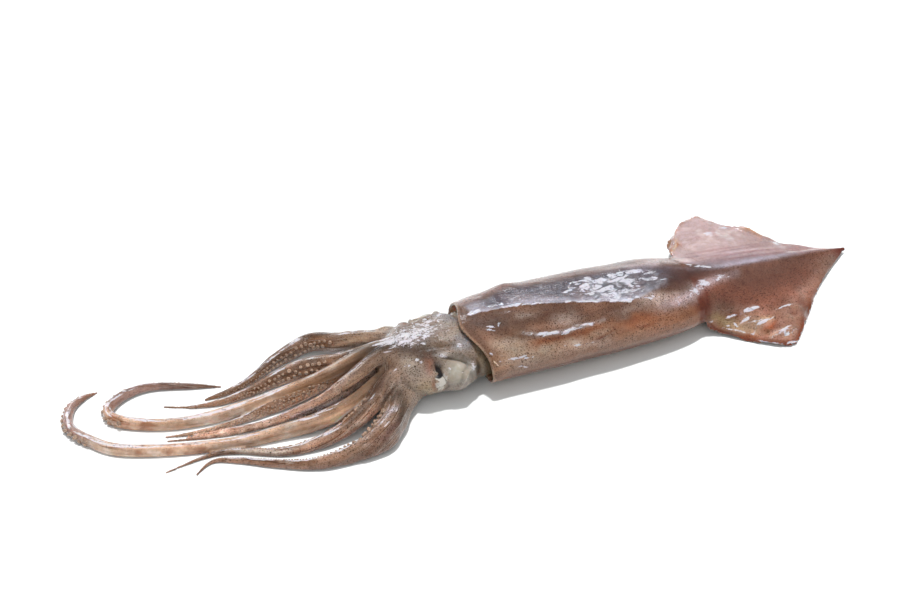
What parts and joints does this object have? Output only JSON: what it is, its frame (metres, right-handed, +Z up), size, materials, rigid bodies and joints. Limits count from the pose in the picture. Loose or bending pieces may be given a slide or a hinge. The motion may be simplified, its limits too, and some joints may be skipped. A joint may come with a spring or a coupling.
{
  "type": "whole raw squid",
  "caption": "Whole raw squid lying on its belly: slender mantle with draped tail fins, head with eyes, suckered arms fanned out and tentacles that hook back.",
  "frame": {"origin": "middle of the footprint on the slab the squid lies on", "axes": "+X along the mantle from the arms towards the tail, +Y towards the animal's right fin, +Z up from belly to back"},
  "size_m": [0.4192, 0.1124, 0.0341],
  "materials": {
    "mantle_skin": "wet translucent skin, speckled brown over pale flesh",
    "arm_skin": "wet translucent skin, brown-taupe with pale suckers",
    "eye": "wet, black with a silver rim"
  },
  "bodies": {
    "root": {"mantle": "mantle_skin", "head_arms": "arm_skin", "eye_left": "eye", "eye_right": "eye"}
  },
  "joints": []
}
